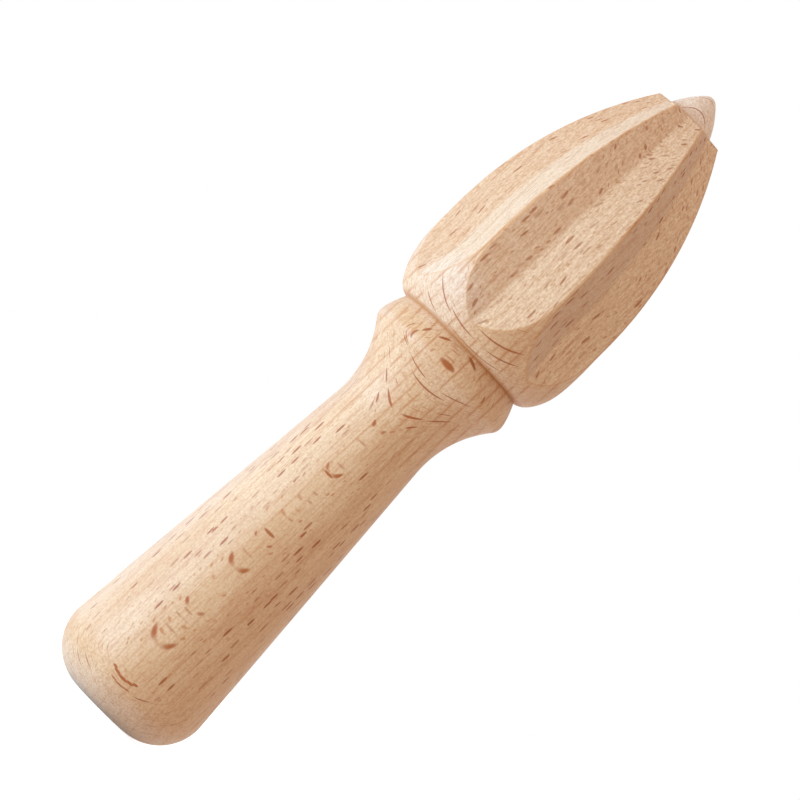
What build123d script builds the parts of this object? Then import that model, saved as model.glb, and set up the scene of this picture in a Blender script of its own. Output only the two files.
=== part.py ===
"""A hand citrus reamer, turned and milled from one blank of beech.

The reamer stands on the flat end of its handle. The origin is the centre of that end and +Z runs up
the turning axis to the nose. A handle tapers up to a narrow neck, the neck flares out to a bead, and
a sharp groove parts the bead from an egg-shaped head. Seven open V flutes are milled along the head.
They leave seven narrow lands, end at a flat shoulder and leave a small round nose above it.
"""

import os
from math import cos, radians, sin

from build123d import *

# Lengths along the axis, in order from the flat end of the handle to the tip of the nose
end_rounding = 9.9
grip_length = 62.0
flare_length = 16.0
bead_top_length = 5.8
head_base_length = 14.4
head_side_length = 4.4
head_crown_length = 41.1
nose_length = 6.4

# Heights of the features, added up from those lengths
neck_height = end_rounding + grip_length
bead_height = neck_height + flare_length
groove_height = bead_height + bead_top_length
head_widest_bottom = groove_height + head_base_length
head_widest_top = head_widest_bottom + head_side_length
shoulder_height = head_widest_top + head_crown_length
overall_length = shoulder_height + nose_length

# Radii of the turned profile
handle_end_flat = 6.0
handle_radius = 15.75
neck_radius = 10.55
bead_radius = 15.9
groove_depth = 1.9
head_radius = 19.8
shoulder_radius = 7.7
nose_tip_radius = 1.7
groove_radius = bead_radius - groove_depth

# Curves and softened corners of the turned profile
bead_top_curve = 20.0
bead_softening = 3.0
shoulder_softening = 0.35
nose_tip_turn = 44.0

# Milled flutes: their depth is given at the widest part of the head and at the shoulder, and the
# wall angles are measured from the radial, on the left and the right of the valley
flute_count = 7
flute_depth = 3.65
flute_depth_at_shoulder = 1.35
runout_curve = 66.0
runout_turn = 25.0
left_wall_angle = 75.4
right_wall_angle = 80.3
valley_offset_angle = 1.7
front_azimuth = -90.0
valley_radius = head_radius - flute_depth
valley_radius_at_shoulder = shoulder_radius - flute_depth_at_shoulder

# The nose stands well inside the valleys, so that the cutter clears it
nose_clearance = 1.1
nose_base_radius = valley_radius_at_shoulder - nose_clearance

# How far the cutter's outline runs past the wood
overrun = 5.0


def wall_direction(angle):
    """Direction of a flute wall, turned away from the radial by the angle given."""
    return (cos(radians(angle)), sin(radians(angle)), 0)


# The outline from the axis at the handle's end round to the axis at the nose
with BuildSketch(Plane.XZ) as turned_profile:
    with BuildLine():
        end_flat = Line((0, 0), (handle_end_flat, 0))
        end_curve = EllipticalCenterArc(
            (handle_end_flat, end_rounding),
            handle_radius - handle_end_flat,
            end_rounding,
            start_angle=270,
            arc_size=90,
        )
        taper = Line(end_curve @ 1, (neck_radius, neck_height))
        flare = TangentArc(taper @ 1, (bead_radius, bead_height), tangent=taper % 1)
        bead_top = RadiusArc(flare @ 1, (groove_radius, groove_height), bead_top_curve)
        head_base = EllipticalCenterArc(
            (groove_radius, head_widest_bottom),
            head_radius - groove_radius,
            head_base_length,
            start_angle=270,
            arc_size=90,
        )
        head_side = Line(head_base @ 1, (head_radius, head_widest_top))
        head_crown = TangentArc(head_side @ 1, (shoulder_radius, shoulder_height), tangent=head_side % 1)
        shoulder = Line(head_crown @ 1, (nose_base_radius, shoulder_height))
        nose_tip = JernArc((0, overall_length), (1, 0), nose_tip_radius, -nose_tip_turn)
        TangentArc(nose_tip @ 1, shoulder @ 1, tangent=nose_tip % 1)
        Line(nose_tip @ 0, end_flat @ 0)
    make_face()
    fillet(turned_profile.vertices().sort_by_distance((bead_radius, bead_height))[0], bead_softening)
    fillet(
        turned_profile.vertices().sort_by_distance((shoulder_radius, shoulder_height))[0],
        shoulder_softening,
    )

# What one flute takes away: the space outside its valley line, spread along both walls. The
# valley line runs out through the head's base below and passes clear of the nose above.
with BuildPart() as flute:
    with BuildSketch(Plane.XZ) as valley_section:
        with BuildLine():
            runout = JernArc((valley_radius, head_widest_top), (0, -1), runout_curve, runout_turn)
            valley = TangentArc(
                (valley_radius, head_widest_top),
                (valley_radius_at_shoulder, shoulder_height),
                tangent=(0, 1),
            )
            beyond_nose = Line(valley @ 1, (valley_radius_at_shoulder, overall_length + overrun))
            top_edge = Line(beyond_nose @ 1, (head_radius + overrun, overall_length + overrun))
            outer_edge = Line(top_edge @ 1, (head_radius + overrun, (runout @ 1).Y))
            Line(outer_edge @ 1, runout @ 1)
        make_face()
    wall_reach = head_radius + overrun
    extrude(valley_section.sketch, amount=wall_reach, dir=wall_direction(-left_wall_angle))
    extrude(valley_section.sketch, amount=wall_reach, dir=wall_direction(right_wall_angle))

# The whole reamer, one solid
with BuildPart() as reamer:
    add(turned_profile.sketch)
    revolve(axis=Axis.Z)
    with PolarLocations(0, flute_count, start_angle=front_azimuth - valley_offset_angle):
        add(flute.part, mode=Mode.SUBTRACT)

reamer.part.label = "reamer"

os.makedirs("parts", exist_ok=True)
export_step(reamer.part, "parts/reamer.step")
print("volume_cm3", round(reamer.part.volume / 1000, 2), "box", reamer.part.bounding_box().size)
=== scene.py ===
"""A hand citrus reamer of bare beech, dressed for rendering and laid out as an add-on.

The reamer is one turned and milled piece of wood, so it has one surface. It stands on the flat end
of its handle, with its axis on +Z. The script makes that surface, its beech and the stage.
"""

import math

import bpy
import numpy as np
from bpy.props import (
    FloatProperty, FloatVectorProperty, IntProperty, PointerProperty, StringProperty,
)
from mathutils import Matrix, Vector


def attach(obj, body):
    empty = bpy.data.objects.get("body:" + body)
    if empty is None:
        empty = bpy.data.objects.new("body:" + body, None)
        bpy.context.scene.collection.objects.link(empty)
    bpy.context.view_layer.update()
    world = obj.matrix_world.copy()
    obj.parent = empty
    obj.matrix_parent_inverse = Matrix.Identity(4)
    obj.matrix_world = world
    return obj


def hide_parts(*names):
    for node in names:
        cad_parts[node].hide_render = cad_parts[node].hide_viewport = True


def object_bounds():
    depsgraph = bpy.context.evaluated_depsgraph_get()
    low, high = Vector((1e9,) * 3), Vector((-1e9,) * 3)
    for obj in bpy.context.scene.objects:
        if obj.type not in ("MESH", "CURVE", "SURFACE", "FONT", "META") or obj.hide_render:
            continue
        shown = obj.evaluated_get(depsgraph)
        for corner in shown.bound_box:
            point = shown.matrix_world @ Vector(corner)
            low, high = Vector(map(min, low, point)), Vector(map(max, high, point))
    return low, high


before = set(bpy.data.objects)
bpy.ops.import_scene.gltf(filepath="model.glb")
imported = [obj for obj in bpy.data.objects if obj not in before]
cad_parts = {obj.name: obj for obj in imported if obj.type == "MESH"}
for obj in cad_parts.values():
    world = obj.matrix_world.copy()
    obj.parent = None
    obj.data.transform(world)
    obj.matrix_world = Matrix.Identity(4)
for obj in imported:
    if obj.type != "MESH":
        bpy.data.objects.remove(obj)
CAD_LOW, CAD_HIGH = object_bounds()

bl_info = {
    "name": "Wooden citrus reamer",
    "version": (1, 0, 0),
    "blender": (4, 5, 0),
    "location": "View3D > Sidebar > Reamer",
    "description": "Makes a turned and milled beech citrus reamer and its white stage",
    "category": "Add Mesh",
}

MM = 0.001

# Points along each stretch of the turned profile
FLAT_POINTS = 4
ROUNDING_POINTS = 24
GRIP_POINTS = 30
FLARE_POINTS = 30
BEAD_TOP_POINTS = 60
BEAD_TOP_KEPT = 20
CREST_POINTS = 12
HEAD_BASE_POINTS = 200
HEAD_CROWN_POINTS = 400
NOSE_TIP_POINTS = 9
NOSE_SIDE_POINTS = 14

# Rows of the grid on the head: level above the groove, up to the flutes' ends, on to the widest
# part, over the crown, round the shoulder's rim and across the shoulder. The last number is how
# many heights are tried for the end of a flute.
LEVEL_ROWS = 9
BASE_ROWS = 32
SIDE_ROWS = 38
CROWN_ROWS = 100
RIM_ROWS = 5
LEDGE_ROWS = 6
RUNOUT_STEPS = 1200

# How strongly the rows bunch: the level ones towards the groove, the others towards the ends of
# the flutes
LEVEL_BUNCHING = 1.6
BASE_BUNCHING = 1.2
SIDE_BUNCHING = 1.4

# The first row stands this share of the flat from the pole, and the last this angle from it
FIRST_ROW_SHARE = 0.2
LAST_ROW_ANGLE = math.radians(6)

# Columns of one flute, as shares of the way from the valley to its left arris, from the valley to
# its right arris, and across the land to the next flute
LEFT_SHARES = (
    1.0, 0.97, 0.93, 0.86, 0.78, 0.7, 0.62, 0.54, 0.46, 0.38, 0.3, 0.23, 0.16, 0.1, 0.06, 0.03,
)
RIGHT_SHARES = (
    0.0, 0.02, 0.04, 0.07, 0.12, 0.18, 0.25, 0.32, 0.39, 0.46, 0.53,
    0.6, 0.66, 0.72, 0.78, 0.84, 0.89, 0.93, 0.96, 0.98, 1.0,
)
LAND_SHARES = (0.12, 0.37, 0.63, 0.88)

# A wall's line never comes nearer the radial than this angle
LEAST_WALL_TURN = 0.02

# The cutter's run-out arc is followed up to this share of its radius
MOST_RUNOUT = 0.95

# Widths over which the marks fade: milled wood, arris, the painted shade on each flute's left wall,
# and the painted shade in the groove and at the nose's foot
MILLED_FADE = 0.12 * MM
ARRIS_FADE = 0.2 * MM
LEFT_WALL_SHADE_FADE = 0.3 * MM
GROOVE_SHADE_FADE = 0.6 * MM
NOSE_FOOT_FADE = 0.5 * MM

# Milled wood begins this share of its fade outside the arris
MILLED_LEAD = 0.3

# Parts of the normal from which a point begins to face sideways and along the axis, and the further
# part over which it comes to do so wholly
SIDEWAYS_START, SIDEWAYS_FADE = 0.68, 0.1
ENDWAYS_START, ENDWAYS_FADE = 0.35, 0.6
# The left side, where the light falls, takes less of the sideways mark, so the right side's milled
# walls are darker as painted shade
LEFT_SIDE_SHARE = 0.6


def linear(hex_colour):
    """Turns an sRGB hex colour into the linear values that shaders and lamps take."""
    steps = [int(hex_colour[i : i + 2], 16) / 255 for i in (1, 3, 5)]
    return [*(c / 12.92 if c <= 0.04045 else ((c + 0.055) / 1.055) ** 2.4 for c in steps), 1.0]


def length(name, description, default_mm):
    """A length property with its default given in millimetres."""
    return FloatProperty(
        name=name, description=description, default=default_mm * MM, unit="LENGTH", precision=5
    )


def angle(name, description, default_degrees):
    """An angle property with its default given in degrees."""
    return FloatProperty(
        name=name, description=description, default=math.radians(default_degrees), subtype="ANGLE"
    )


def position(name, description, default, size=3):
    """A place or a width and height, in metres."""
    return FloatVectorProperty(
        name=name, description=description, default=default, size=size, unit="LENGTH", precision=5
    )


def power(name, description, default):
    """A lamp's power in watts."""
    return FloatProperty(name=name, description=description, default=default, unit="POWER")


def colour(name, description, default):
    """A colour property with its default given as an sRGB hex string."""
    return StringProperty(name=name, description=description, default=default)


# What a user can change

class ReamerShape(bpy.types.PropertyGroup):
    """Sizes of the turned profile and of the milled flutes."""

    overall_length: length("Overall length", "From the handle's end to the nose", CAD_HIGH.z / MM)
    head_radius: length("Head radius", "Widest radius of the head", 19.8)
    end_rounding: length("End rounding", "Height of the rounding at the handle's end", 9.9)
    grip_length: length("Grip length", "From the end's rounding to the neck", 62.0)
    flare_length: length("Flare length", "From the neck to the bead's crest", 16.0)
    bead_top_length: length("Bead top", "From the bead's crest to the groove", 5.8)
    head_base_length: length("Head base", "From the groove to the head's widest part", 14.4)
    head_side_length: length("Head side", "Height of the straight side of the head", 4.4)
    nose_length: length("Nose length", "Height of the nose above the shoulder", 6.4)
    handle_end_flat: length("End flat", "Radius of the flat at the handle's end", 6.0)
    handle_radius: length("Handle radius", "Thickest radius of the handle", 15.75)
    neck_radius: length("Neck radius", "Thinnest radius of the neck", 10.55)
    bead_radius: length("Bead radius", "Radius of the bead's crest", 15.9)
    bead_softening: length("Bead softening", "How far the bead's crest is rounded over", 1.4)
    crest_lean: angle("Crest lean", "How far the bead's top leans inwards at the crest", 9)
    groove_depth: length("Groove depth", "From the bead's crest down to the groove's bottom", 1.9)
    shoulder_radius: length("Shoulder radius", "Outer radius of the shoulder", 7.7)
    shoulder_softening: length("Shoulder softening", "Rounding of the shoulder's rim", 0.35)
    nose_tip_radius: length("Nose tip", "Radius of the nose's round tip", 1.7)
    nose_tip_turn: angle("Nose tip turn", "How far the tip's curve turns from level", 44)
    nose_clearance: length("Nose clearance", "From the nose's foot out to the valleys", 1.1)
    flute_depth: length("Flute depth", "Depth of a valley at the head's widest part", 3.65)
    flute_depth_at_shoulder: length("Depth at shoulder", "Depth of a valley at the shoulder", 1.35)
    level_band: length("Level band", "Band above the groove where the grid's rows stay level", 1.6)
    runout_curve: length("Run-out curve", "Radius on which the cutter left the wood", 66.0)
    arris_softening: length("Arris softening", "Rounding of the lands' edges", 0.18)
    valley_softening: length("Valley softening", "Rounding at the bottom of the valleys", 0.18)
    flute_count: IntProperty(name="Flutes", description="Number of milled flutes", default=7, min=3)
    left_wall_angle: angle("Left wall", "Left wall's angle from the radial", 75.4)
    right_wall_angle: angle("Right wall", "Right wall's angle from the radial", 80.3)
    valley_azimuth: angle("Front valley", "Azimuth of the front flute's valley", -91.7)


class BeechLook(bpy.types.PropertyGroup):
    """Colours of the beech and the real sizes of its figure."""

    pale: colour("Pale wood", "Palest turned wood", "#E5BE92")
    tan: colour("Tan wood", "Darker turned wood", "#D6A97B")
    milled: colour("Milled wood", "Wood of the milled flute walls", "#F2D0A6")
    # Pale end grain, also used as painted light on the faces turned down and on a patch low on the
    # head's left
    end_grain_and_painted_light: colour("End grain", "Wood where the end grain shows", "#FBE8CE")
    ring: colour("Ring line", "Line where one year's growth meets the next", "#B4610A")
    ray: colour("Ray", "Thin rays cut across", "#9C4A00")
    fleck: colour("Fleck", "Rays that lie almost in the surface", "#A34D00")
    arris: colour("Arris", "Edges between lands and flutes", "#CF8A4A")
    # Side grain, greyer, laid on more fully on the right, away from the light, as painted shade
    side_grain_and_shade: colour("Side grain", "Milled walls that face sideways", "#D2B598")
    # Painted shade: the dark line in the groove and at the nose's foot
    groove: colour("Groove", "Bottom of the groove", "#BC7634")
    ring_width: length("Ring width", "Distance between two ring lines", 1.84)
    ring_place: length("Ring place", "Where a ring line crosses, right of the axis", 2.2)
    ray_spacing: length("Ray spacing", "Distance from one sheet of rays to the next", 1.0)
    ray_height: length("Ray height", "Half height of a ray", 1.35)
    ray_thickness: length("Ray thickness", "Half thickness of a ray", 0.2)
    ray_reach: length("Ray reach", "Half width of a ray in its sheet", 0.27)
    ray_bend: length("Ray bend", "Radius on which the sheets of rays bend", 41.0)
    ray_lean: angle("Ray lean", "Lean of the sheets of rays from the axis", 5.1428)
    handle_lean: angle("Handle lean", "How much more the sheets of rays lean in the handle", 2.2906)
    handle_turn: angle("Turn in the handle", "Turn of the figure about the axis in the handle", 1.5)
    head_turn: angle("Turn in the head", "Turn of the figure about the axis in the head", 6.0)


class StageLook(bpy.types.PropertyGroup):
    """The camera, the lamps and the white surroundings."""

    camera_distance: length("Camera distance", "From the axis to the camera", 850.0)
    camera_height: length("Camera height", "Above the plane of the handle's end", 37.0)
    target_height: length("Target height", "Height on the axis that the camera looks at", 79.17)
    target_shift: length("Target shift", "How far right of the axis the camera looks", -1.2)
    camera_turn: angle("Camera turn", "Turn of the camera round the axis", 4.8)
    camera_roll: angle("Camera roll", "Roll that leans the axis to the upper right", 45.234)
    lens: FloatProperty(
        name="Lens", description="Focal length in millimetres", default=207.0, unit="CAMERA"
    )
    floor_radius: length("Floor radius", "Radius of the round floor", 900.0)
    floor_colour: colour("Floor colour", "Matt white floor", "#E6E6E6")
    floor_glow: FloatProperty(
        name="Floor glow", description="What makes the seen floor pure white", default=0.8
    )
    surroundings: FloatProperty(
        name="Surroundings", description="Level of the surroundings' fill", default=0.68
    )
    fill_colour: colour("Fill colour", "Slightly warm fill", "#FFF1E8")
    key_colour: colour("Key colour", "Cool key lamp", "#ADD8FF")
    key_power: power("Key power", "Power of the key lamp", 1.46)
    key_place: position("Key place", "Low at the front left", (-0.2, -0.13, 0.012))
    key_size: position("Key size", "Width and height of the key lamp", (0.2, 0.1), 2)
    top_colour: colour("Top colour", "Cool lamp above the head", "#BBD9FF")
    top_power: power("Top power", "Power of the top lamp", 0.5)
    top_place: position("Top place", "High above the front", (-0.05, -0.15, 0.5))
    top_size: position("Top size", "Width and height of the top lamp", (0.3, 0.3), 2)
    edge_colour: colour("Edge colour", "Cool lamp that brightens the left edge", "#7FC0FF")
    edge_power: power("Edge power", "Power of the edge lamp", 1.7)
    edge_place: position("Edge place", "Behind on the left", (-0.66, 0.39, 0.09))
    edge_size: position("Edge size", "Width and height of the edge lamp", (0.4, 0.2), 2)


# The turned profile, as rows of radius and height

def ellipse_quarter(centre, half_width, half_height, count):
    """A quarter ellipse: radius is the centre's plus half width times cosine, height is the
    centre's plus half height times sine, from straight below the centre to level with it."""
    turn = np.linspace(-np.pi / 2, 0, count)
    radius, height = centre[0] + half_width * np.cos(turn), centre[1] + half_height * np.sin(turn)
    return np.stack([radius, height], 1)


def tangent_arc(start, direction, end, count):
    """The circular arc that leaves start along direction and ends at end: the start's arm about the
    circle's centre, turned step by step through twice the angle between direction and chord."""
    start, end = np.array(start), np.array(end)
    along = np.array(direction) / np.hypot(*direction)
    chord = end - start
    half_turn = np.arctan2(along[0] * chord[1] - along[1] * chord[0], along @ chord)
    radius = np.hypot(*chord) / (2 * np.sin(half_turn))
    centre = start + radius * np.array([-along[1], along[0]])
    turn = np.linspace(0, 2 * half_turn, count)
    arm = start - centre
    turned = (
        np.cos(turn) * arm[0] - np.sin(turn) * arm[1],
        np.sin(turn) * arm[0] + np.cos(turn) * arm[1],
    )
    return centre + np.stack(turned, 1)


def straight(start, end, count):
    """A straight row of points from start to end."""
    share = np.linspace(0, 1, count)[:, None]
    return (1 - share) * np.array(start) + share * np.array(end)


def heights(shape):
    """Heights of the features, added up from the lengths between them."""
    neck = shape.end_rounding + shape.grip_length
    bead = neck + shape.flare_length
    groove = bead + shape.bead_top_length
    widest_bottom = groove + shape.head_base_length
    widest_top = widest_bottom + shape.head_side_length
    shoulder = shape.overall_length - shape.nose_length
    return neck, bead, groove, widest_bottom, widest_top, shoulder


def soften_corner(before, after, reach, count):
    """Joins two rows of points with a curve that leaves the first row reach before the corner and
    meets the second reach after it: a parabola whose middle point is the corner."""
    corner = before[-1]
    from_before = np.hypot(*(before - corner).T) > reach
    from_after = np.hypot(*(after - corner).T) > reach
    first, last = before[from_before], after[from_after]
    share = np.linspace(0, 1, count)[:, None]
    out_of = corner + (first[-1] - corner) * reach / np.hypot(*(first[-1] - corner))
    into = corner + (last[0] - corner) * reach / np.hypot(*(last[0] - corner))
    curve = (1 - share) ** 2 * out_of + 2 * share * (1 - share) * corner + share**2 * into
    return np.concatenate([first, curve, last])


def handle_rows(shape):
    """The turned profile from the flat end up to the groove: flat, elliptic rounding, straight
    taper, a flare on an arc that leaves the taper smoothly, and the bead's falling top, of whose
    points those near the groove are kept closest."""
    neck, bead, groove, *_ = heights(shape)
    pole_side = (FIRST_ROW_SHARE * shape.handle_end_flat, 0)
    foot = straight(pole_side, (shape.handle_end_flat, 0), FLAT_POINTS)[:-1]
    rounding = ellipse_quarter(
        (shape.handle_end_flat, shape.end_rounding),
        shape.handle_radius - shape.handle_end_flat,
        shape.end_rounding,
        ROUNDING_POINTS,
    )
    grip = straight(rounding[-1], (shape.neck_radius, neck), GRIP_POINTS)[1:]
    taper = (shape.neck_radius - shape.handle_radius, shape.grip_length)
    flare = tangent_arc(grip[-1], taper, (shape.bead_radius, bead), FLARE_POINTS)[1:]
    groove_radius = shape.bead_radius - shape.groove_depth
    crest_slope = (-math.tan(shape.crest_lean), 1)
    bead_top = tangent_arc(
        (shape.bead_radius, bead), crest_slope, (groove_radius, groove), BEAD_TOP_POINTS
    )
    share = 1 - (1 - np.linspace(0, 1, BEAD_TOP_KEPT)) ** 2
    kept = np.unique(np.round((BEAD_TOP_POINTS - 1) * share).astype(int))
    below_groove = soften_corner(flare, bead_top[kept], shape.bead_softening, CREST_POINTS)
    return np.concatenate([foot, rounding, grip, below_groove])


def head_profile(shape):
    """The head before milling, from the groove to the shoulder: a quarter ellipse, a short straight
    side and a crown on an arc that leaves the side smoothly."""
    _, _, groove, widest_bottom, widest_top, shoulder = heights(shape)
    groove_radius = shape.bead_radius - shape.groove_depth
    base = ellipse_quarter(
        (groove_radius, widest_bottom),
        shape.head_radius - groove_radius,
        shape.head_base_length,
        HEAD_BASE_POINTS,
    )
    crown = tangent_arc(
        (shape.head_radius, widest_top),
        (0, 1),
        (shape.shoulder_radius, shoulder),
        HEAD_CROWN_POINTS,
    )
    return np.concatenate([base, crown])


def nose_rows(shape, foot_radius):
    """The nose from its foot to just below the pole: an arc that runs smoothly into the round tip,
    whose own arc turns from level by the tip's turn."""
    shoulder = shape.overall_length - shape.nose_length
    turn = np.linspace(shape.nose_tip_turn, LAST_ROW_ANGLE, NOSE_TIP_POINTS)
    centre = shape.overall_length - shape.nose_tip_radius
    arm = shape.nose_tip_radius * np.stack([np.sin(turn), np.cos(turn)], 1)
    tip = np.array([0, centre]) + arm
    leaving = (math.cos(shape.nose_tip_turn), -math.sin(shape.nose_tip_turn))
    side = tangent_arc(tip[0], leaving, (foot_radius, shoulder), NOSE_SIDE_POINTS)[::-1]
    return np.concatenate([side[:-1], tip])


# The milled flutes

def smooth_least(a, b, reach):
    """The smaller of two surfaces, with their crossing rounded off over the reach given: the least,
    less a quarter of reach times the squared share by which they are nearer than reach."""
    near = np.clip(1 - np.abs(a - b) / reach, 0, 1)
    return np.minimum(a, b) - near**2 * reach / 4


def valley_radius(shape, height):
    """Radius of a valley's bottom at each height: one arc runs out below the head's widest part and
    another closes in towards the shoulder, both upright where they meet."""
    _, _, _, _, widest_top, shoulder = heights(shape)
    middle = shape.head_radius - shape.flute_depth
    top = shape.shoulder_radius - shape.flute_depth_at_shoulder
    rise, fall = shoulder - widest_top, middle - top
    crown_curve = (rise**2 + fall**2) / (2 * fall)
    above = np.clip(height - widest_top, 0, None)
    below = np.clip(widest_top - height, 0, MOST_RUNOUT * shape.runout_curve)
    closing = crown_curve - np.sqrt(crown_curve**2 - above**2)
    running_out = shape.runout_curve - np.sqrt(shape.runout_curve**2 - below**2)
    return middle - closing + running_out


def wall_radius(valley, wall_angle, across):
    """Radius of a flute's straight wall at an angle across from the valley: the law of sines in the
    triangle of the axis, the valley's bottom and the point on the wall."""
    return valley * np.sin(wall_angle) / np.sin(np.maximum(wall_angle - across, LEAST_WALL_TURN))


def edge_angle(turned, valley, wall_angle):
    """Angle across from the valley at which a straight wall meets the turned surface."""
    return wall_angle - np.arcsin(np.clip(valley * np.sin(wall_angle) / turned, 0, 1))


def milled_radius(shape, turned, valley, across):
    """Radius of the milled head: the outer of the two walls, rounded in the valley, where that is
    inside the turned surface, rounded at the arris. Also gives three marks that the beech follows,
    each one in full and fading to nothing: milled wood, by how far the wall is inside the turned
    surface, the arris, by how near the two are, and the left wall, by which wall is outer, which
    the beech darkens as painted shade."""
    left = wall_radius(valley, shape.left_wall_angle, -across)
    right = wall_radius(valley, shape.right_wall_angle, across)
    walls = -smooth_least(-left, -right, shape.valley_softening)
    radius = smooth_least(turned, walls, shape.arris_softening)
    milled = np.clip((turned - walls) / MILLED_FADE + MILLED_LEAD, 0, 1)
    arris = np.clip(1 - np.abs(turned - walls) / ARRIS_FADE, 0, 1)
    # The left wall of each flute is marked for painted shade
    left_wall_shade = milled * np.clip((left - right) / LEFT_WALL_SHADE_FADE + 0.5, 0, 1)
    return radius, milled, arris, left_wall_shade


# The grid of the whole reamer

def column_angles(shape, height):
    """Azimuth of every column at every height, and its angle across from its own valley. In each
    flute the columns follow the left arris, the valley and the right arris, and they follow the
    land between that arris and the next, so an edge always lies on a column."""
    _, _, _, widest_bottom, _, shoulder = heights(shape)
    profile = head_profile(shape)
    level = np.clip(height, widest_bottom, shoulder)
    turned = np.interp(level, profile[:, 1], profile[:, 0])
    valley = valley_radius(shape, level)
    left = edge_angle(turned, valley, shape.left_wall_angle)
    right = edge_angle(turned, valley, shape.right_wall_angle)
    pitch = 2 * np.pi / shape.flute_count
    land = pitch - left - right
    one_flute = [-left * share for share in LEFT_SHARES]
    one_flute += [right * share for share in RIGHT_SHARES]
    one_flute += [right + land * share for share in LAND_SHARES]
    across = np.stack(one_flute, -1)
    turns = np.arange(shape.flute_count) * pitch + shape.valley_azimuth
    azimuth = turns[:, None] + across[..., None, :]
    own = np.where(across > right[..., None] + land[..., None] / 2, across - pitch, across)
    own = np.broadcast_to(own[..., None, :], azimuth.shape)
    flat = azimuth.shape[:-2] + (-1,)
    return azimuth.reshape(flat), own.reshape(flat)


def runout_heights(shape, across):
    """For each column, the height at which the flute's wall comes out of the turned base: the
    lowest height of a fine ladder at which the wall is inside the turned surface."""
    _, _, groove, widest_bottom, _, _ = heights(shape)
    profile = head_profile(shape)
    ladder = np.linspace(groove, widest_bottom, RUNOUT_STEPS)
    turned = np.interp(ladder, profile[:, 1], profile[:, 0])[:, None]
    valley = valley_radius(shape, ladder)[:, None]
    walls = np.maximum(
        wall_radius(valley, shape.left_wall_angle, -across[None]),
        wall_radius(valley, shape.right_wall_angle, across[None]),
    )
    cut = walls < turned
    cut[-1] = True
    return ladder[np.argmax(cut, axis=0)]


def head_grid(shape):
    """The milled head as a grid of rows and columns, from just above the groove to the shoulder's
    rim. Its lower rows are bent so that one of them follows the curved end of every flute, then
    they level out again at the top of the straight side."""
    _, _, groove, widest_bottom, widest_top, shoulder = heights(shape)
    _, across = column_angles(shape, np.array([widest_bottom]))
    leaving = runout_heights(shape, across[0])[None]
    step = np.linspace(0, 1, LEVEL_ROWS)[1:, None]
    level = groove + shape.level_band * step**LEVEL_BUNCHING + 0 * leaving
    step = np.linspace(0, 1, BASE_ROWS)[1:, None]
    base = level[-1:] + (leaving - level[-1:]) * (1 - (1 - step) ** BASE_BUNCHING)
    step = np.linspace(0, 1, SIDE_ROWS)[1:, None]
    sweep = leaving + (widest_top - leaving) * step**SIDE_BUNCHING
    rim = shoulder - shape.shoulder_softening
    crown = np.linspace(widest_top, rim, CROWN_ROWS)[1:, None] + 0 * leaving
    height = np.concatenate([level, base, sweep, crown])
    column = np.arange(height.shape[1])
    azimuth, across = column_angles(shape, height)
    azimuth, across = azimuth[:, column, column], across[:, column, column]
    profile = head_profile(shape)
    turned = np.interp(height, profile[:, 1], profile[:, 0])
    radius, *marks = milled_radius(shape, turned, valley_radius(shape, height), across)
    return azimuth, radius, height, marks


def whole_grid(shape):
    """Azimuth, radius, height and marks of every point, from the handle's end to the nose. Below
    the groove and on the nose each row is a circle. At the shoulder the head's last row is rounded
    over a quarter turn and drawn in flat to the nose's foot. The last mark is a dark line of
    painted shade in the groove and at the nose's foot."""
    _, _, groove, _, _, shoulder = heights(shape)
    azimuth, radius, height, marks = head_grid(shape)
    low = handle_rows(shape)
    columns = radius.shape[1]
    spread = np.ones((1, columns))
    corner = np.linspace(0, np.pi / 2, RIM_ROWS)[1:, None]
    soft = shape.shoulder_softening
    rim_radius = radius[-1:] - soft * (1 - np.cos(corner))
    rim_height = shoulder - soft + soft * np.sin(corner) * spread
    foot = shape.shoulder_radius - shape.flute_depth_at_shoulder - shape.nose_clearance
    share = np.linspace(0, 1, LEDGE_ROWS)[1:-1, None]
    ledge_radius = (1 - share) * rim_radius[-1:] + share * foot
    ledge_height = shoulder * np.ones_like(ledge_radius)
    nose = nose_rows(shape, foot)
    rows_radius = np.concatenate(
        [low[:, :1] * spread, radius, rim_radius, ledge_radius, nose[:, :1] * spread]
    )
    rows_height = np.concatenate(
        [low[:, 1:] * spread, height, rim_height, ledge_height, nose[:, 1:] * spread]
    )
    above = rows_radius.shape[0] - low.shape[0] - radius.shape[0]
    rows_azimuth = np.concatenate(
        [np.repeat(azimuth[:1], low.shape[0], 0), azimuth, np.repeat(azimuth[-1:], above, 0)]
    )
    quiet_low, quiet_above = np.zeros((low.shape[0], columns)), np.zeros((above, columns))
    rows_marks = [np.concatenate([quiet_low, mark, quiet_above]) for mark in marks]
    from_foot = np.hypot(rows_radius - foot, rows_height - shoulder)
    # A dark line of painted shade in the groove and at the nose's foot
    groove_shade = np.clip(1 - np.abs(rows_height - groove) / GROOVE_SHADE_FADE, 0, 1)
    rows_marks.append(np.maximum(groove_shade, np.clip(1 - from_foot / NOSE_FOOT_FADE, 0, 1)))
    return rows_azimuth, rows_radius, rows_height, rows_marks


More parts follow.
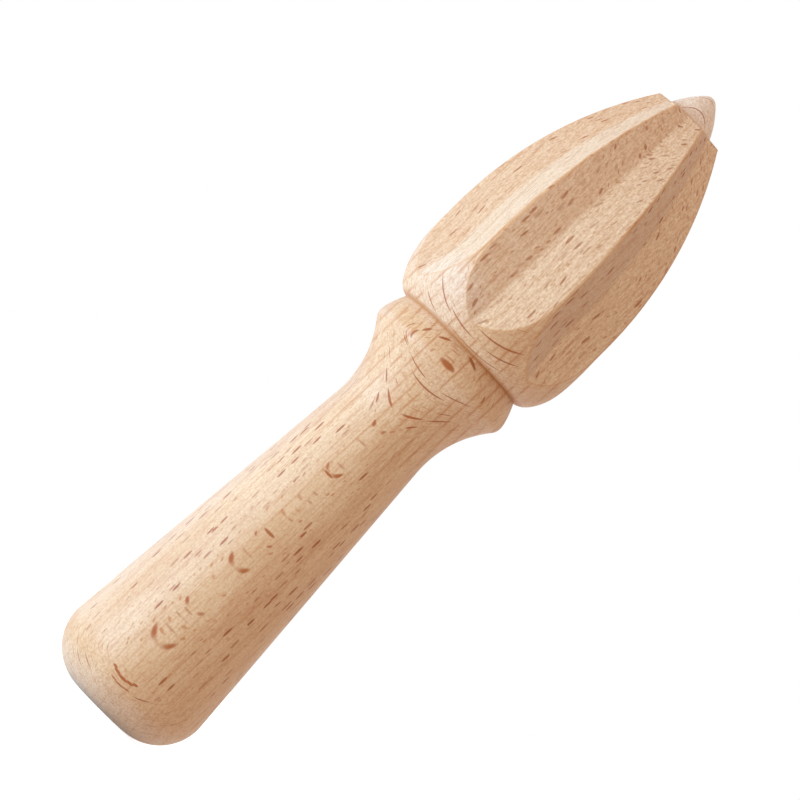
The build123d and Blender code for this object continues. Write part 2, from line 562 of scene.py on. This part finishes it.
def closed_surface(name, points, top):
    """A mesh from a grid whose columns close round the axis, with a fan of triangles at each
    pole."""
    rows, columns = points.shape[:2]
    last = rows * columns
    poles = np.array([[0, 0, points[0, 0, 2]], [0, 0, top]])
    corners = np.concatenate([points.reshape(-1, 3), poles])
    index = np.arange(last).reshape(rows, columns)
    right = np.roll(index, -1, axis=1)
    quads = np.stack([index[:-1], right[:-1], right[1:], index[1:]], -1).reshape(-1, 4)
    low_fan = np.stack([np.full(columns, last), right[0], index[0]], -1)
    high_fan = np.stack([np.full(columns, last + 1), index[-1], right[-1]], -1)
    loops = np.concatenate([quads.ravel(), low_fan.ravel(), high_fan.ravel()])
    starts = np.concatenate(
        [np.arange(len(quads)) * 4, len(quads) * 4 + np.arange(2 * columns) * 3]
    )
    mesh = bpy.data.meshes.new(name)
    mesh.vertices.add(len(corners))
    mesh.vertices.foreach_set("co", corners.ravel())
    mesh.loops.add(len(loops))
    mesh.loops.foreach_set("vertex_index", loops)
    mesh.polygons.add(len(starts))
    mesh.polygons.foreach_set("loop_start", starts)
    mesh.polygons.foreach_set("use_smooth", np.ones(len(starts), bool))
    mesh.update(calc_edges=True)
    mesh.validate()
    return mesh


def put_mark(mesh, mark, values):
    """Keeps a mark as a point attribute, which the beech reads."""
    mesh.attributes.new(mark, "FLOAT", "POINT").data.foreach_set("value", values.astype(np.float32))


def put_facing_marks(mesh):
    """Marks how far each point faces sideways and along the axis. Each share grows with that part
    of the normal, and the left side's share stays weaker than the right side's, so that the right
    side, away from the light, takes more of the darker side grain as painted shade."""
    normals = np.zeros(3 * len(mesh.vertices), np.float32)
    mesh.vertex_normals.foreach_get("vector", normals)
    right, _, up = normals.reshape(-1, 3).T
    sideways = np.clip((np.abs(right) - SIDEWAYS_START) / SIDEWAYS_FADE, 0, 1)
    put_mark(mesh, "sideways", np.where(right > 0, sideways, LEFT_SIDE_SHARE * sideways))
    put_mark(mesh, "endways", np.clip((np.abs(up) - ENDWAYS_START) / ENDWAYS_FADE, 0, 1))


def reamer_mesh(shape):
    """The whole reamer: each grid point is its radius times the azimuth's cosine and sine, and its
    height, so the surface is closed, smooth and faces outwards."""
    azimuth, radius, height, marks = whole_grid(shape)
    points = np.stack([radius * np.cos(azimuth), radius * np.sin(azimuth), height], -1)
    mesh = closed_surface("reamer_beech", points, shape.overall_length)
    for mark, values in zip(("milled", "arris", "left_wall_shade", "groove"), marks):
        put_mark(mesh, mark, np.append(values, (0, 0)))
    put_facing_marks(mesh)
    return mesh


# The beech

def add_node(tree, kind, inputs=None, output=0, **settings):
    """Adds a node, sets its properties, fills or links its inputs and gives back one output."""
    made = tree.nodes.new(kind)
    for name, value in settings.items():
        setattr(made, name, value)
    for socket, value in (inputs or {}).items():
        if isinstance(value, bpy.types.NodeSocket):
            tree.links.new(value, made.inputs[socket])
        else:
            made.inputs[socket].default_value = value
    return None if output is None else made.outputs[output]


# Rays that the front shows, in millimetres: the middle's places across, outwards and up in the
# straightened figure, then the half sizes in the same order. The bold ones lie almost in the
# surface, the thin ones are cut across, and the faint ones show as pale fringes.
BOLD_RAYS = (
    (0.1, -13.70, 7.2, 1.5, 0.176, 0.5), (-1.5, -13.75, 7.5, 1, 0.144, 0.45),
    (1.7, -13.74, 7.5, 1, 0.144, 0.45), (-2.4, -13.82, 7.9, 0.7, 0.144, 0.4),
    (2.6, -13.82, 8.0, 0.7, 0.144, 0.4), (-0.1, -14.64, 17.7, 3.6, 0.078, 2),
    (-0.2, -15.03, 25.6, 2.9, 0.06, 1), (-0.1, -15.54, 36.7, 3.1, 0.072, 1.4),
    (0.0, -15.83, 42.9, 2.8, 0.04, 0.7), (0.2, -16.68, 61.0, 2.3, 0.05, 1.3),
    (-0.1, -16.68, 59.8, 1.3, 0.09, 0.3), (-0.2, -16.97, 72.4, 2, 0.045, 1),
    (0.1, -23.61, 89.0, 2, 0.12, 0.7), (-2.7, -17.55, 77.6, 2.3, 0.09, 1.9),
    (2.8, -17.64, 78.0, 2.3, 0.09, 2.2), (-4.3, -16.80, 76.1, 0.9, 0.09, 1.5),
    (4.0, -16.99, 76.6, 1, 0.07, 1.7), (-3.7, -22.69, 92.1, 1.4, 0.1, 1.4),
)
THIN_RAYS = (
    (0.5, -13.10, 6.0, 1.4, 0.098, 0.3), (-1.1, -13.16, 6.2, 0.8, 0.084, 0.3),
    (2.1, -13.14, 6.2, 0.9, 0.084, 0.3), (0.0, -15.97, 44.6, 1.5, 0.09, 0.4),
    (-3.3, -21.11, 85.1, 3.5, 0.103, 1.3), (5.9, -21.01, 85.9, 4.5, 0.103, 1.8),
    (1.0, -20.27, 83.6, 5.3, 0.116, 0.9), (-8.4, -21.27, 87.0, 1.3, 0.103, 1),
    (-6.1, -17.39, 80.1, 1.3, 0.116, 2.1), (6.8, -17.51, 81.1, 2.4, 0.116, 2.3),
    (-7.1, -22.13, 91.1, 0.9, 0.13, 1.3), (3.1, -22.65, 92.5, 1.8, 0.13, 1.2),
    (-8.3, -22.05, 88.9, 0.6, 0.116, 1.3), (9.3, -21.62, 89.3, 0.6, 0.103, 1),
    (-9.3, -25.16, 98.0, 4.4, 0.103, 3.4), (-3.4, -25.55, 96.2, 4.6, 0.103, 1.3),
    (4.1, -26.72, 98.7, 6.9, 0.103, 2.3), (6.1, -25.44, 96.8, 5.3, 0.103, 1.8),
    (-10.1, -22.87, 95.3, 3.1, 0.103, 1.8), (0.8, -23.81, 94.3, 6.8, 0.13, 0.8),
    (-0.2, -18.02, 155.2, 3.4, 0.07, 2.2), (0.0, -15.76, 158.5, 2.2, 0.07, 1.2),
)
FAINT_RAYS = (
    (-0.3, -14.83, 19.7, 1.6, 0.07, 0.3), (-0.4, -14.94, 22.6, 2, 0.05, 0.3),
    (-0.3, -15.04, 24.2, 1.3, 0.06, 0.3), (-0.4, -15.72, 39.2, 1.6, 0.04, 0.3),
    (1.0, -16.17, 49.0, 1, 0.04, 0.3), (1.0, -16.38, 53.8, 0.9, 0.04, 0.3),
    (0.7, -16.48, 55.6, 0.9, 0.05, 0.3), (0.5, -16.80, 62.5, 1.3, 0.05, 0.3),
    (0.1, -16.99, 68.2, 1, 0.05, 0.3),
)

# Wood that is warmer, in the years right of the middle of the handle, and a patch of painted light,
# paler, low on the head's left where the light falls, laid out as the rays are
WARM_WOOD = ((6.3, -14.60, 39.0, 3.4, 8, 17),)
PAINTED_LIGHT_PATCH = ((-9.0, -20.0, 99.0, 8.5, 16, 8),)

# Scattered rays, in millimetres: the size of the cell that holds one ray, then the ray's half
# sizes, each across, outwards and up
SMALL_RAYS = (3.0, 0.45, 1.3), (1.2, 0.04, 0.5)
ARC_RAYS = (7.0, 1.3, 3.2), (2.4, 0.07, 1.1)
MILLED_RAYS = (2.2, 0.75, 3.2), (0.55, 0.1, 1.25)

# The cell of a ray that shows as a dash is this many of its half sizes wide and high
DASH_CELL_WIDTH, DASH_CELL_HEIGHT = 5.6, 1.9

# Distances from a ray's middle, in half sizes, up to which it is in full and at which it has faded
PLACED_EDGE = 0.6, 1.1
SCATTERED_EDGE = 0.7, 1.1

# The share of the cells whose ray is less than full in colour
FAINTER_SHARE = 0.7

# The measure that stands for no lens nearby
NOTHING_NEAR = 9.0

# Grain, in millimetres: its size across, outwards and up, then the noise levels between which it
# comes in, and finer detail for the clouds. Real pores and fibres are under 0.1 mm wide, too fine
# to show, so they are drawn about four times as coarse.
CLOUD = (7, 7, 26), 0.3, 0.7, 3.0
PATCH = (1.5, 3, 12), 0.4, 0.58
STREAK = (0.5, 0.5, 30), 0.45, 0.7
FIBRE = (0.28, 0.28, 7), 0.45, 0.75
TORN = (0.34, 0.34, 1.1), 0.42, 0.68
SPECKLE = (0.35, 0.35, 0.5), 0.4, 0.7

# The grain wanders: how slowly and how far, in millimetres
WANDER_SIZE = (30, 30, 70)
WANDER_REACH = (0.7, 0.7, 0.0)

# Heights, in millimetres, between which the figure turns and below which the handle's rays lean
TURN_HEIGHTS = 62, 90
HANDLE_LEAN_TOP = 66.0

# Bands of height, in millimetres: where a share is least, where it is full, and the least share.
# They are for the years, the dashes' upper and lower ends, the end grain and the nose.
CLEAR_YEARS = 60, 82, 0.35
DASH_TOP = 74, 68, 0.0
DASH_END = 7, 11, 0.0
END_GRAIN = 30, 20, 0.3
NOSE = 153.5, 154.1, 0.0

# The same for the places across and outwards where the scattered rays come in, beside the placed
# ones and behind them
BESIDE_FRONT = 3.0, 4.0, 0.0
BEHIND_FRONT = -2.0, 0.0, 0.0

# Shares of a year's width: where its darker late wood starts, and half the width of its line
LATE_WOOD_START = 0.3
RING_LINE_SHARE = 0.2

# How clear the years are, and how rough the surface is, on turned and on milled wood
YEARS_SHOWN = 1.0, 0.35
ROUGHNESS = 0.55, 0.8
DIFFUSE_ROUGHNESS = 0.0, 0.35

# Relief: how much the fibre gives beside the torn wood, its strength and its height
FIBRE_RELIEF = 0.5
RELIEF_STRENGTH = 0.3
RELIEF_HEIGHT = 0.06 * MM


def straight_figure(tree, place, look):
    """Coordinates, in millimetres, in which the beech's figure is straight. They are the place on
    the reamer turned about the axis, by an angle that grows from the handle to the head. From the
    outward coordinate goes the squared sideways one over twice the radius on which the rays bend,
    the height times the rays' lean, and in the handle also the height, counted from its top, times
    what they lean more there."""
    up = add_node(tree, "ShaderNodeSeparateXYZ", {0: place}, "Z")
    turn = add_node(
        tree, "ShaderNodeMapRange",
        {
            "Value": up, "From Min": TURN_HEIGHTS[0], "From Max": TURN_HEIGHTS[1],
            "To Min": -look.handle_turn, "To Max": -look.head_turn,
        },
    )
    turned = add_node(
        tree, "ShaderNodeVectorRotate", {"Vector": place, "Angle": turn}, rotation_type="Z_AXIS"
    )
    across = add_node(tree, "ShaderNodeSeparateXYZ", {0: turned}, "X")
    outward = add_node(tree, "ShaderNodeSeparateXYZ", {0: turned}, "Y")
    squared = add_node(tree, "ShaderNodeMath", {0: across, 1: across}, operation="MULTIPLY")
    bent = add_node(
        tree, "ShaderNodeMath", {0: squared, 1: -MM / (2 * look.ray_bend), 2: outward},
        operation="MULTIPLY_ADD",
    )
    leaning = add_node(
        tree, "ShaderNodeMath", {0: up, 1: -math.tan(look.ray_lean), 2: bent},
        operation="MULTIPLY_ADD",
    )
    from_top = add_node(tree, "ShaderNodeMath", {0: up, 1: HANDLE_LEAN_TOP}, operation="SUBTRACT")
    below_top = add_node(tree, "ShaderNodeMath", {0: from_top, 1: 0.0}, operation="MINIMUM")
    leaning = add_node(
        tree, "ShaderNodeMath", {0: below_top, 1: -math.tan(look.handle_lean), 2: leaning},
        operation="MULTIPLY_ADD",
    )
    return add_node(tree, "ShaderNodeCombineXYZ", {"X": across, "Y": leaning, "Z": up})


def placed_lenses(tree, figure, lenses):
    """Thin lenses at the places given. Each one's measure is the distance from its middle in half
    sizes, and the least measure of all says how near the closest lens is."""
    nearest = NOTHING_NEAR
    for *middle, half_x, half_y, half_z in lenses:
        share = (1 / half_x, 1 / half_y, 1 / half_z)
        start = tuple(-m * k for m, k in zip(middle, share))
        away = add_node(
            tree, "ShaderNodeVectorMath", {0: figure, 1: share, 2: start}, operation="MULTIPLY_ADD"
        )
        measure = add_node(tree, "ShaderNodeVectorMath", {0: away}, "Value", operation="LENGTH")
        nearest = add_node(tree, "ShaderNodeMath", {0: measure, 1: nearest}, operation="MINIMUM")
    full, gone = PLACED_EDGE
    return add_node(
        tree, "ShaderNodeMapRange",
        {"Value": nearest, "From Min": gone, "From Max": full}, interpolation_type="SMOOTHSTEP",
    )


def scattered_rays(tree, wood, cell, half_size):
    """Thin lenses, one to a cell: each cell's own point is the lens's middle, and its measure is
    the distance from it in half sizes. Its depth of colour differs from cell to cell."""
    scaled = add_node(tree, "ShaderNodeMapping", {0: wood, "Scale": tuple(1 / c for c in cell)})
    middle = add_node(tree, "ShaderNodeTexVoronoi", {"Vector": scaled, "Scale": 1.0}, "Position")
    chance = add_node(tree, "ShaderNodeTexVoronoi", {"Vector": scaled, "Scale": 1.0}, "Color")
    away = add_node(tree, "ShaderNodeVectorMath", {0: scaled, 1: middle}, operation="SUBTRACT")
    shares = tuple(c / h for c, h in zip(cell, half_size))
    measured = add_node(tree, "ShaderNodeVectorMath", {0: away, 1: shares}, operation="MULTIPLY")
    distance = add_node(tree, "ShaderNodeVectorMath", {0: measured}, "Value", operation="LENGTH")
    full, gone = SCATTERED_EDGE
    inside = add_node(
        tree, "ShaderNodeMapRange",
        {"Value": distance, "From Min": gone, "From Max": full}, interpolation_type="SMOOTHSTEP",
    )
    depth = add_node(tree, "ShaderNodeSeparateColor", {0: chance}, "Red")
    depth_share = add_node(tree, "ShaderNodeMapRange", {"Value": depth, "From Max": FAINTER_SHARE})
    return add_node(tree, "ShaderNodeMath", {0: inside, 1: depth_share}, operation="MULTIPLY")


def grain_pattern(tree, place, size, low, high, detail=2.0):
    """Grain of the real size given, in millimetres: noise, spread between two of its levels."""
    scaled = add_node(tree, "ShaderNodeMapping", {0: place, "Scale": tuple(1 / c for c in size)})
    noise = add_node(tree, "ShaderNodeTexNoise", {"Vector": scaled, "Scale": 1.0, "Detail": detail})
    return add_node(tree, "ShaderNodeMapRange", {"Value": noise, "From Min": low, "From Max": high})


def make_beech(look):
    """Bare beech, turned and fine-sanded, with the flutes left as the cutter made them.

    Real beech is pale pinkish tan with little gloss. The blank was cut so that its rays lie in
    sheets that face the front. There they show as broad flecks, arcs and ovals, and on the sides as
    short dark dashes. The years' lines run straight up the reamer. Turned wood is smooth, milled
    wood is rougher, and across the end the grain is paler and greyer. Painted light makes the
    faces turned down and a patch low on the head's left paler still, and painted shade darkens
    each flute's left wall, the milled walls facing right, the groove and the nose's foot."""
    material = bpy.data.materials.new("beech_turned_and_milled")
    material.use_nodes = True
    tree = material.node_tree
    tree.nodes.clear()
    object_place = add_node(tree, "ShaderNodeTexCoord", output="Object")
    place = add_node(
        tree, "ShaderNodeVectorMath", {0: object_place, "Scale": 1 / MM}, operation="SCALE"
    )
    figure = straight_figure(tree, place, look)

    # The grain wanders by a few tenths of a millimetre along the blank
    slowly = tuple(1 / c for c in WANDER_SIZE)
    slow = add_node(tree, "ShaderNodeMapping", {0: place, "Scale": slowly})
    wander = add_node(
        tree, "ShaderNodeTexNoise", {"Vector": slow, "Scale": 1.0, "Detail": 2.0}, "Color"
    )
    offset = add_node(
        tree, "ShaderNodeVectorMath", {0: wander, 1: (0.5, 0.5, 0.5)}, operation="SUBTRACT"
    )
    wood = add_node(
        tree, "ShaderNodeVectorMath", {0: offset, 1: WANDER_REACH, 2: figure},
        operation="MULTIPLY_ADD",
    )
    up = add_node(tree, "ShaderNodeSeparateXYZ", {0: place}, "Z")
    outward = add_node(tree, "ShaderNodeSeparateXYZ", {0: place}, "Y")
    across = add_node(tree, "ShaderNodeSeparateXYZ", {0: wood}, "X")
    aside = add_node(tree, "ShaderNodeMath", {0: across}, operation="ABSOLUTE")

    # The surface's own marks
    milled, arris, groove, left_wall_shade, sideways, endways = (
        add_node(tree, "ShaderNodeAttribute", attribute_name=mark, output="Fac")
        for mark in ("milled", "arris", "groove", "left_wall_shade", "sideways", "endways")
    )

    # Milled walls that face sideways are cut flat along the years, so they look greyer and plainer;
    # those on the right, away from the light, take more of it as painted shade
    side_milled = add_node(tree, "ShaderNodeMath", {0: sideways, 1: milled}, operation="MULTIPLY")
    front_milled = add_node(
        tree, "ShaderNodeMath", {0: milled, 1: side_milled}, operation="SUBTRACT"
    )

    # Shares that come in over a band of height, of place across or of place outwards
    clear_years, below_neck, above_end, low_part, nose, beside_front, behind = (
        add_node(
            tree, "ShaderNodeMapRange",
            {"Value": at, "From Min": least_at, "From Max": full_at, "To Min": least},
        )
        for at, (least_at, full_at, least) in (
            (up, CLEAR_YEARS), (up, DASH_TOP), (up, DASH_END), (up, END_GRAIN), (up, NOSE),
            (aside, BESIDE_FRONT), (outward, BEHIND_FRONT),
        )
    )

    # Bare wood has little gloss. Milled wood is rougher, and its years show less.
    milled_years, roughness, flatness = (
        add_node(tree, "ShaderNodeMapRange", {"Value": milled, "To Min": turned, "To Max": cut})
        for turned, cut in (YEARS_SHOWN, ROUGHNESS, DIFFUSE_ROUGHNESS)
    )
    clear_part = add_node(
        tree, "ShaderNodeMath", {0: clear_years, 1: milled_years}, operation="MULTIPLY"
    )

    # Broad clouds of paler and darker wood, some centimetres long, the patches in which the years'
    # lines show, torn fibre on the milled walls and a speckle, then streaks and fibre in the wood
    cloud, patch, torn, speckle = (
        grain_pattern(tree, place, *grain) for grain in (CLOUD, PATCH, TORN, SPECKLE)
    )
    streak, fibre = (grain_pattern(tree, wood, *grain) for grain in (STREAK, FIBRE))
    torn_share = add_node(tree, "ShaderNodeMath", {0: torn, 1: front_milled}, operation="MULTIPLY")

    # Lines of the years' growth, straight planes across the blank, clearest from neck to head
    years = add_node(
        tree, "ShaderNodeMath",
        {0: across, 1: MM / look.ring_width, 2: -look.ring_place / look.ring_width},
        operation="MULTIPLY_ADD",
    )
    in_year = add_node(tree, "ShaderNodeMath", {0: years}, operation="FRACT")
    late = add_node(
        tree, "ShaderNodeMapRange", {"Value": in_year, "From Min": LATE_WOOD_START},
        interpolation_type="SMOOTHSTEP",
    )
    from_line = add_node(tree, "ShaderNodeMath", {0: years, 1: 0.5}, operation="PINGPONG")
    line = add_node(
        tree, "ShaderNodeMapRange",
        {"Value": from_line, "From Min": RING_LINE_SHARE, "From Max": 0.0},
        interpolation_type="SMOOTHSTEP",
    )

    # A warmer patch of wood, a paler patch of painted light, and the placed rays on the front
    warm, light, bold_rays, thin_rays, faint_rays = (
        placed_lenses(tree, figure, lenses)
        for lenses in (WARM_WOOD, PAINTED_LIGHT_PATCH, BOLD_RAYS, THIN_RAYS, FAINT_RAYS)
    )

    # Where the turned wood, and the milled walls that face sideways, take scattered rays
    open_part = add_node(tree, "ShaderNodeMath", {0: beside_front, 1: behind}, operation="MAXIMUM")
    open_part = add_node(
        tree, "ShaderNodeMath", {0: open_part, 1: front_milled},
        operation="SUBTRACT", use_clamp=True,
    )

    # Short dashes along the handle and on the milled walls that face sideways, arcs on the rest
    reach, spacing, height = look.ray_reach / MM, look.ray_spacing / MM, look.ray_height / MM
    dash_cell = (reach * DASH_CELL_WIDTH, spacing, height * DASH_CELL_HEIGHT)
    dashes = scattered_rays(tree, wood, dash_cell, (reach, look.ray_thickness / MM, height))
    dash_part = add_node(tree, "ShaderNodeMath", {0: below_neck, 1: above_end}, operation="MINIMUM")
    dash_part = add_node(
        tree, "ShaderNodeMath", {0: dash_part, 1: side_milled}, operation="MAXIMUM"
    )
    arcs = scattered_rays(tree, wood, *ARC_RAYS)
    many_rays = add_node(
        tree, "ShaderNodeMix", {"Factor": dash_part, 2: arcs, 3: dashes}, "Result",
        data_type="FLOAT",
    )

    # Denser dashes on the milled walls that face the front, and the smallest rays all over
    milled_rays = scattered_rays(tree, wood, *MILLED_RAYS)
    small_rays = scattered_rays(tree, wood, *SMALL_RAYS)

    # What lies over the turned wood, in order: a colour, its greatest share and the patterns whose
    # product says where it lies. Wood is paler and greyer where the surface cuts across the fibres,
    # at the handle's end, on the shoulder and on the nose, and a little on the curves; on the faces
    # turned down, such as the handle's end, this paler wood is also painted light.
    colour_now = add_node(
        tree, "ShaderNodeMix",
        {"Factor": cloud, 6: linear(look.pale), 7: linear(look.tan)}, "Result", data_type="RGBA",
    )
    layers = (
        (look.milled, 0.9, milled),
        # Side grain on milled walls facing sideways, partly painted shade: full on the right,
        # weaker on the lit left
        (look.side_grain_and_shade, 0.5, side_milled),
        # Paler end grain where the surface faces along the axis; on the handle's end and the head's
        # base, turned down, it is also painted light
        (look.end_grain_and_painted_light, 0.6, endways, low_part),
        # Painted shade: each flute's left wall is darker, the wall that faces away from the light
        # on the front flute
        (look.ring, 0.17, left_wall_shade),
        (look.ring, 0.07, late, clear_part),
        (look.ring, 0.2, warm),
        # Painted light: a paler patch low on the head's left, where the light falls
        (look.end_grain_and_painted_light, 0.25, light),
        (look.ring, 0.26, streak, clear_part),
        (look.ring, 0.6, line, clear_part, patch),
        (look.end_grain_and_painted_light, 0.55, nose),
        (look.ring, 0.35, fibre),
        (look.ring, 0.24, torn_share),
        (look.ring, 0.34, speckle),
        (look.ring, 0.6, small_rays),
        (look.ray, 0.9, many_rays, open_part),
        (look.fleck, 0.7, milled_rays, front_milled),
        (look.fleck, 0.45, faint_rays),
        (look.ray, 0.9, thin_rays),
        (look.fleck, 0.95, bold_rays),
        # Painted shade in the groove and in the crease at the nose's foot
        (look.groove, 0.85, groove),
        (look.arris, 0.42, arris),
    )
    for over, amount, *patterns in layers:
        for pattern in patterns:
            amount = add_node(
                tree, "ShaderNodeMath", {0: pattern, 1: amount},
                operation="MULTIPLY", use_clamp=True,
            )
        colour_now = add_node(
            tree, "ShaderNodeMix",
            {"Factor": amount, 6: colour_now, 7: linear(over)}, "Result", data_type="RGBA",
        )

    # Relief: the fibre and the torn wood stand a few hundredths of a millimetre proud
    relief = add_node(tree, "ShaderNodeMath", {0: fibre, 1: FIBRE_RELIEF}, operation="MULTIPLY")
    relief = add_node(tree, "ShaderNodeMath", {0: torn_share, 1: relief}, operation="ADD")
    bump = add_node(
        tree, "ShaderNodeBump",
        {"Strength": RELIEF_STRENGTH, "Distance": RELIEF_HEIGHT, "Height": relief}, "Normal",
    )

    # The loose fibres of bare wood give some sheen
    shader = add_node(
        tree, "ShaderNodeBsdfPrincipled",
        {
            "Base Color": colour_now, "Roughness": roughness, "Diffuse Roughness": flatness,
            "Normal": bump, "IOR": 1.5, "Specular IOR Level": 0.5,
            "Sheen Weight": 0.1, "Sheen Roughness": 0.4,
        },
    )
    add_node(tree, "ShaderNodeOutputMaterial", {"Surface": shader}, output=None)
    return material


# The stage

FLOOR_SIDES = 96
NEAREST_SEEN, FURTHEST_SEEN = 0.05, 20.0


def seen_directly(tree):
    """One for rays from the camera, also by way of a reflection or a clear piece, and nothing for
    all others: the greatest of the light path's three shares."""
    camera = add_node(tree, "ShaderNodeLightPath", output="Is Camera Ray")
    rays = camera.node.outputs
    glossy = add_node(
        tree, "ShaderNodeMath", {0: camera, 1: rays["Is Glossy Ray"]}, operation="MAXIMUM"
    )
    return add_node(
        tree, "ShaderNodeMath", {0: glossy, 1: rays["Is Transmission Ray"]}, operation="MAXIMUM"
    )


def make_floor_white(stage):
    """A matt white floor that looks pure white to the camera and keeps the reamer's soft shadow."""
    material = bpy.data.materials.new("matt_white_sweep")
    material.use_nodes = True
    tree = material.node_tree
    tree.nodes.clear()
    matt = add_node(tree, "ShaderNodeBsdfDiffuse", {"Color": linear(stage.floor_colour)})
    seen = seen_directly(tree)
    level = add_node(tree, "ShaderNodeMath", {0: seen, 1: stage.floor_glow}, operation="MULTIPLY")
    glow = add_node(tree, "ShaderNodeEmission", {"Color": linear("#FFFFFF"), "Strength": level})
    both = add_node(tree, "ShaderNodeAddShader", {0: matt, 1: glow})
    add_node(tree, "ShaderNodeOutputMaterial", {"Surface": both}, output=None)
    return material


def make_floor(stage):
    """A round floor: one face whose corners are its radius times cosine and sine of even turns."""
    turn = np.linspace(0, 2 * np.pi, FLOOR_SIDES + 1)[:-1]
    rim = stage.floor_radius * np.stack([np.cos(turn), np.sin(turn), 0 * turn], 1)
    mesh = bpy.data.meshes.new("floor")
    mesh.from_pydata(rim.tolist(), [], [list(range(len(rim)))])
    mesh.update()
    floor = bpy.data.objects.new("floor", mesh)
    bpy.context.scene.collection.objects.link(floor)
    mesh.materials.append(make_floor_white(stage))


def make_surroundings(stage):
    """White surroundings: pure white to the camera and in reflections, and a level fill."""
    world = bpy.data.worlds.new("white_surroundings")
    bpy.context.scene.world = world
    world.use_nodes = True
    tree = world.node_tree
    tree.nodes.clear()
    seen = seen_directly(tree)
    fill = add_node(
        tree, "ShaderNodeBackground",
        {"Color": linear(stage.fill_colour), "Strength": stage.surroundings},
    )
    white = add_node(tree, "ShaderNodeBackground", {"Color": linear("#FFFFFF"), "Strength": 1.0})
    light = add_node(tree, "ShaderNodeMixShader", {0: seen, 1: fill, 2: white})
    add_node(tree, "ShaderNodeOutputWorld", {"Surface": light}, output=None)


def make_lamp(name, place, aim, size, watts, tint):
    """A soft rectangular lamp at a place, turned to face the aim."""
    data = bpy.data.lights.new(name, "AREA")
    data.shape = "RECTANGLE"
    data.size, data.size_y = size
    data.energy = watts
    data.color = linear(tint)[:3]
    lamp = bpy.data.objects.new(name, data)
    facing = (Vector(aim) - Vector(place)).to_track_quat("-Z", "Y")
    lamp.matrix_world = Matrix.Translation(place) @ facing.to_matrix().to_4x4()
    bpy.context.scene.collection.objects.link(lamp)


def make_camera(stage):
    """The photograph's view: a long lens near the level of the handle's end, rolled so that the
    reamer leans to the upper right."""
    data = bpy.data.cameras.new("camera")
    data.lens = stage.lens
    data.clip_start, data.clip_end = NEAREST_SEEN, FURTHEST_SEEN
    camera = bpy.data.objects.new("camera", data)
    back = Vector((math.sin(stage.camera_turn), -math.cos(stage.camera_turn), 0))
    right = Vector((math.cos(stage.camera_turn), math.sin(stage.camera_turn), 0))
    sideways = right * stage.target_shift
    place = back * stage.camera_distance + sideways + Vector((0, 0, stage.camera_height))
    target = sideways + Vector((0, 0, stage.target_height))
    facing = (target - place).to_track_quat("-Z", "Y").to_matrix().to_4x4()
    roll = Matrix.Rotation(stage.camera_roll, 4, "Z")
    camera.matrix_world = Matrix.Translation(place) @ facing @ roll
    bpy.context.scene.collection.objects.link(camera)
    bpy.context.scene.camera = camera


# Operators, panel and registration

class REAMER_OT_wood(bpy.types.Operator):
    """Makes the turned and milled reamer and gives it its beech"""

    bl_idname = "reamer.wood"
    bl_label = "Make reamer"

    def execute(self, context):
        mesh = reamer_mesh(context.scene.reamer_shape)
        mesh.materials.append(make_beech(context.scene.reamer_look))
        piece = bpy.data.objects.new("reamer_beech", mesh)
        context.scene.collection.objects.link(piece)
        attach(piece, "root")
        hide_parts("reamer")
        return {"FINISHED"}


class REAMER_OT_stage(bpy.types.Operator):
    """Makes the white floor and surroundings, the lamps and the camera"""

    bl_idname = "reamer.stage"
    bl_label = "Make stage"

    def execute(self, context):
        stage = context.scene.reamer_stage
        aim = (0, 0, stage.target_height)
        make_floor(stage)
        make_surroundings(stage)
        make_lamp("key", stage.key_place, aim, stage.key_size, stage.key_power, stage.key_colour)
        make_lamp("top", stage.top_place, aim, stage.top_size, stage.top_power, stage.top_colour)
        make_lamp(
            "edge", stage.edge_place, aim, stage.edge_size, stage.edge_power, stage.edge_colour
        )
        make_camera(stage)
        context.scene.view_settings.view_transform = "Standard"
        return {"FINISHED"}


class REAMER_PT_panel(bpy.types.Panel):
    """Lists the reamer's operators and settings"""

    bl_idname = "REAMER_PT_panel"
    bl_label = "Reamer"
    bl_space_type = "VIEW_3D"
    bl_region_type = "UI"
    bl_category = "Reamer"

    def draw(self, context):
        for operator in (REAMER_OT_wood, REAMER_OT_stage):
            self.layout.operator(operator.bl_idname)
        scene = context.scene
        for group in (scene.reamer_shape, scene.reamer_look, scene.reamer_stage):
            box = self.layout.box()
            for name in group.__annotations__:
                box.prop(group, name)


CLASSES = (ReamerShape, BeechLook, StageLook, REAMER_OT_wood, REAMER_OT_stage, REAMER_PT_panel)


def register():
    for item in CLASSES:
        bpy.utils.register_class(item)
    bpy.types.Scene.reamer_shape = PointerProperty(type=ReamerShape)
    bpy.types.Scene.reamer_look = PointerProperty(type=BeechLook)
    bpy.types.Scene.reamer_stage = PointerProperty(type=StageLook)


def unregister():
    del bpy.types.Scene.reamer_stage
    del bpy.types.Scene.reamer_look
    del bpy.types.Scene.reamer_shape
    for item in reversed(CLASSES):
        bpy.utils.unregister_class(item)


def main():
    register()
    bpy.ops.reamer.wood()
    bpy.ops.reamer.stage()


if __name__ == "__main__":
    main()
